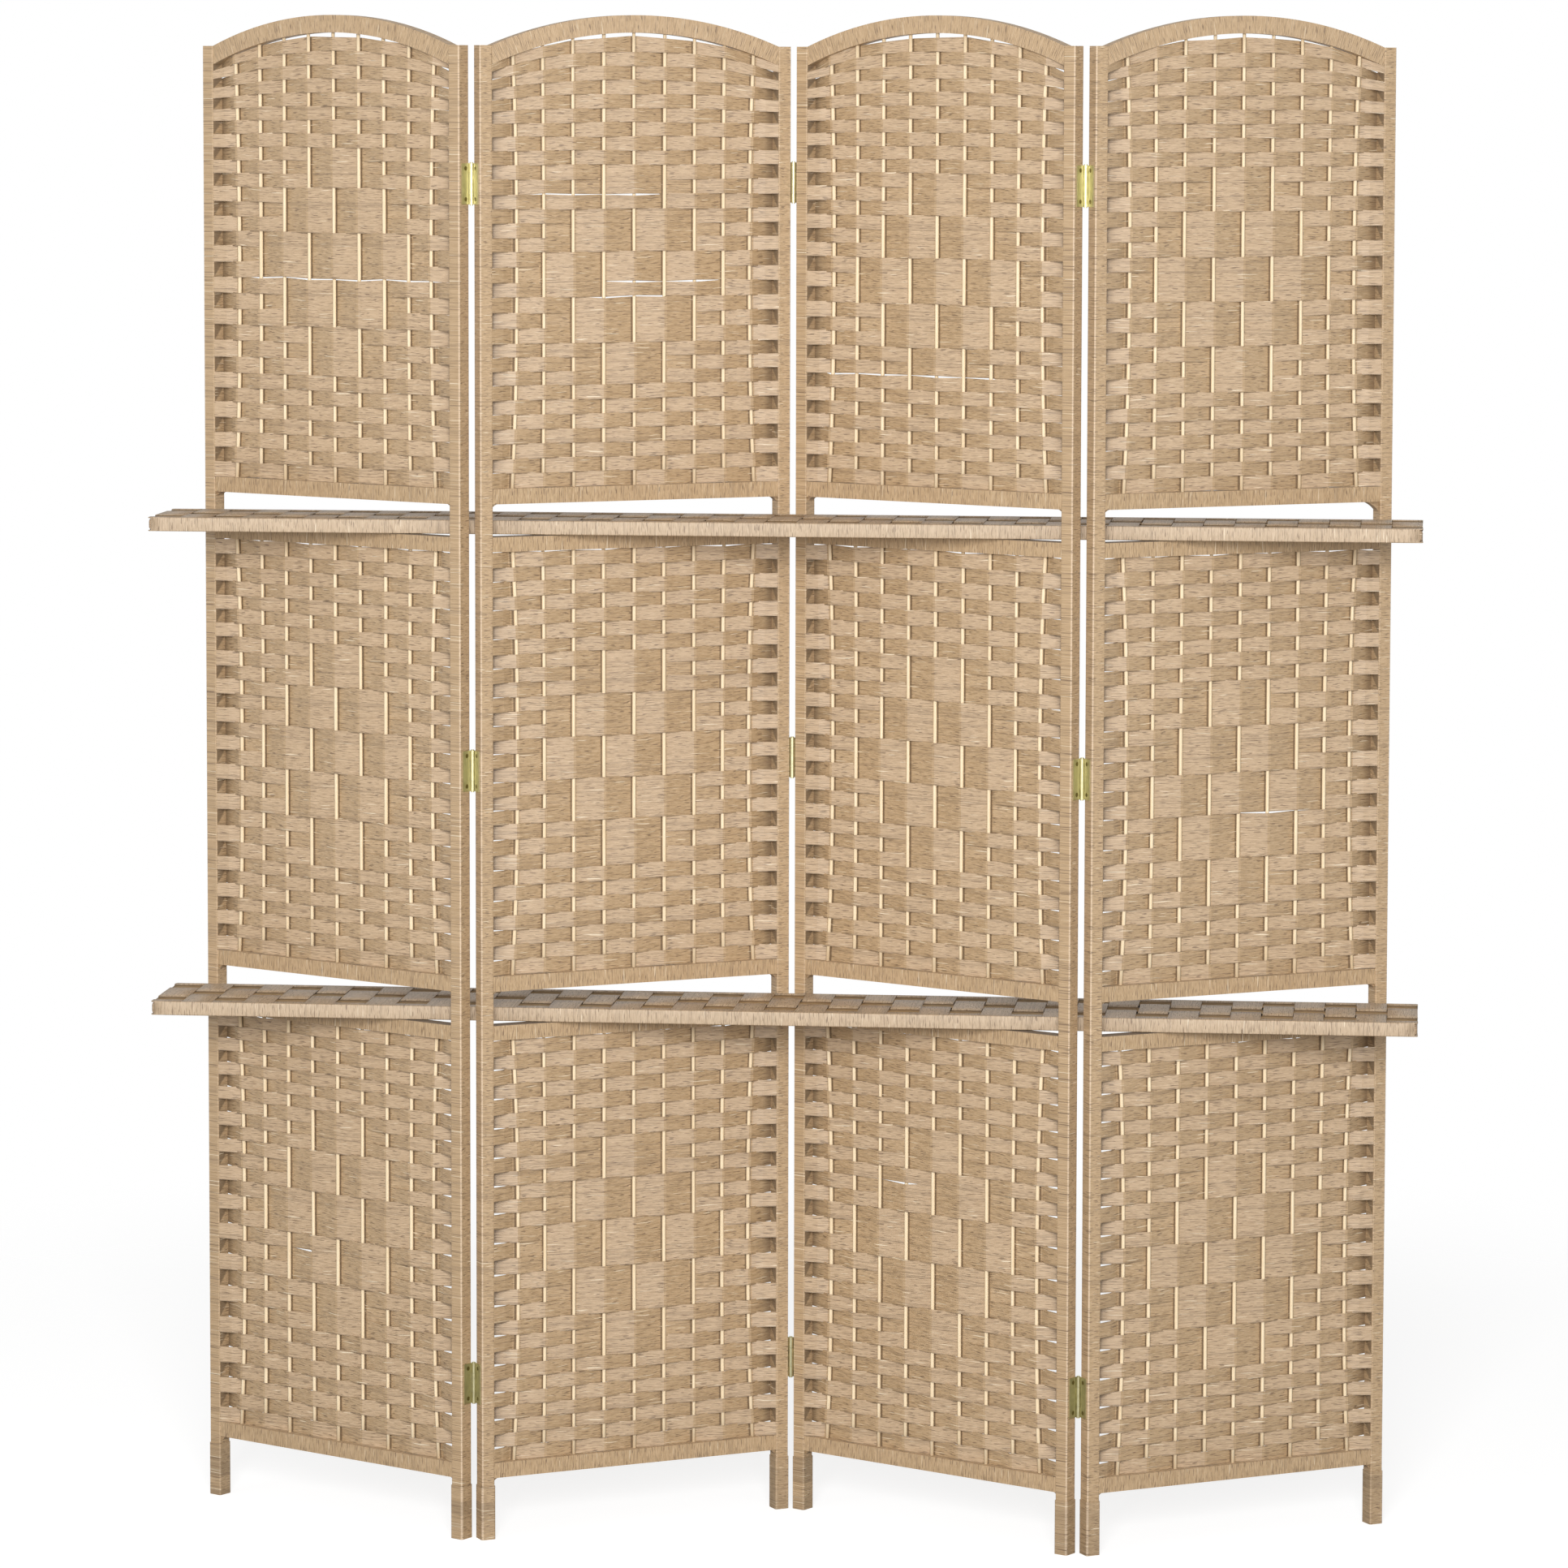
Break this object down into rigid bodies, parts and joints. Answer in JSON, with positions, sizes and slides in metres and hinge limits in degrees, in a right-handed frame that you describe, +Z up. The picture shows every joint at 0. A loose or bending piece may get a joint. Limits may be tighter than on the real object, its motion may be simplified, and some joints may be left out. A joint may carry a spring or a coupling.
{
  "type": "folding screen with shelves",
  "caption": "Zigzag folding screen of arched panels woven in paper fibre over upright reeds, with long shelves lying through slots in the panels.",
  "frame": {"origin": "on the floor, below the middle of the whole screen", "axes": "+X along the shelves to the right as seen from the front, +Y to the back, +Z up"},
  "size_m": [1.5, 0.2222, 1.8],
  "materials": {
    "wrapped_stile": "wooden core wrapped in natural paper fibre, matte",
    "wrapped_rail": "wooden core wrapped in natural paper fibre, matte",
    "woven_mat": "woven paper fibre ribbons, matte",
    "reed": "pale peeled reed, matte",
    "woven_shelf": "woven paper fibre over a board, matte",
    "hinge": "brassed steel, satin",
    "screw": "brassed steel, satin"
  },
  "bodies": {
    "panel_1": {"panel_1_stile_left": "wrapped_stile", "panel_1_stile_right": "wrapped_stile", "panel_1_arch": "wrapped_rail", "panel_1_bottom_rail": "wrapped_rail", "panel_1_lower_slot_rails": "wrapped_rail", "panel_1_upper_slot_rails": "wrapped_rail", "panel_1_lower_mat": "woven_mat", "panel_1_middle_mat": "woven_mat", "panel_1_upper_mat": "woven_mat", "panel_1_reeds": "reed", "fold_1_leaves_left": "hinge", "fold_1_screws_left": "screw"},
    "panel_2": {"panel_2_stile_left": "wrapped_stile", "panel_2_stile_right": "wrapped_stile", "panel_2_arch": "wrapped_rail", "panel_2_bottom_rail": "wrapped_rail", "panel_2_lower_slot_rails": "wrapped_rail", "panel_2_upper_slot_rails": "wrapped_rail", "panel_2_lower_mat": "woven_mat", "panel_2_middle_mat": "woven_mat", "panel_2_upper_mat": "woven_mat", "panel_2_reeds": "reed", "fold_1_leaves_right": "hinge", "fold_1_screws_right": "screw", "fold_2_leaves_left": "hinge", "fold_2_screws_left": "screw", "fold_2_pins": "hinge"},
    "panel_3": {"panel_3_stile_left": "wrapped_stile", "panel_3_stile_right": "wrapped_stile", "panel_3_arch": "wrapped_rail", "panel_3_bottom_rail": "wrapped_rail", "panel_3_lower_slot_rails": "wrapped_rail", "panel_3_upper_slot_rails": "wrapped_rail", "panel_3_lower_mat": "woven_mat", "panel_3_middle_mat": "woven_mat", "panel_3_upper_mat": "woven_mat", "panel_3_reeds": "reed", "fold_2_leaves_right": "hinge", "fold_2_screws_right": "screw", "fold_3_leaves_left": "hinge", "fold_3_screws_left": "screw", "fold_3_pins": "hinge"},
    "panel_4": {"panel_4_stile_left": "wrapped_stile", "panel_4_stile_right": "wrapped_stile", "panel_4_arch": "wrapped_rail", "panel_4_bottom_rail": "wrapped_rail", "panel_4_lower_slot_rails": "wrapped_rail", "panel_4_upper_slot_rails": "wrapped_rail", "panel_4_lower_mat": "woven_mat", "panel_4_middle_mat": "woven_mat", "panel_4_upper_mat": "woven_mat", "panel_4_reeds": "reed", "fold_3_leaves_right": "hinge", "fold_3_screws_right": "screw"},
    "fold_1_pins": {"fold_1_pins": "hinge"},
    "upper_shelf": {"upper_shelf": "woven_shelf"},
    "lower_shelf": {"lower_shelf": "woven_shelf"}
  },
  "joints": [
    {"name": "middle_fold", "type": "hinge", "parent": "panel_2", "child": "panel_3", "pos_m": [0, 0.09568, 0.915], "axis": [0, 0, -1], "range_deg": [0, 118]},
    {"name": "left_fold", "type": "hinge", "parent": "panel_2", "child": "panel_1", "pos_m": [-0.35809, -0.09568, 0.915], "axis": [0, 0, -1], "range_deg": [0, 118]},
    {"name": "right_fold", "type": "hinge", "parent": "panel_3", "child": "panel_4", "pos_m": [0.35809, -0.09568, 0.915], "axis": [0, 0, 1], "range_deg": [0, 118]},
    {"name": "left_pins_turn", "type": "hinge", "parent": "panel_2", "child": "fold_1_pins", "pos_m": [-0.35809, -0.09568, 0.915], "axis": [0, 0, -1], "range_deg": [0, 59]},
    {"name": "upper_shelf_slide", "type": "slide", "parent": "fold_1_pins", "child": "upper_shelf", "axis": [1, 0, 0], "range_m": [-0.65, 0.65]},
    {"name": "lower_shelf_slide", "type": "slide", "parent": "fold_1_pins", "child": "lower_shelf", "axis": [1, 0, 0], "range_m": [-0.65, 0.65]}
  ],
  "couplings": [
    {"joint": "left_fold", "follows": "middle_fold", "ratio": 1},
    {"joint": "right_fold", "follows": "middle_fold", "ratio": 1},
    {"joint": "left_pins_turn", "follows": "middle_fold", "ratio": 0.5}
  ]
}
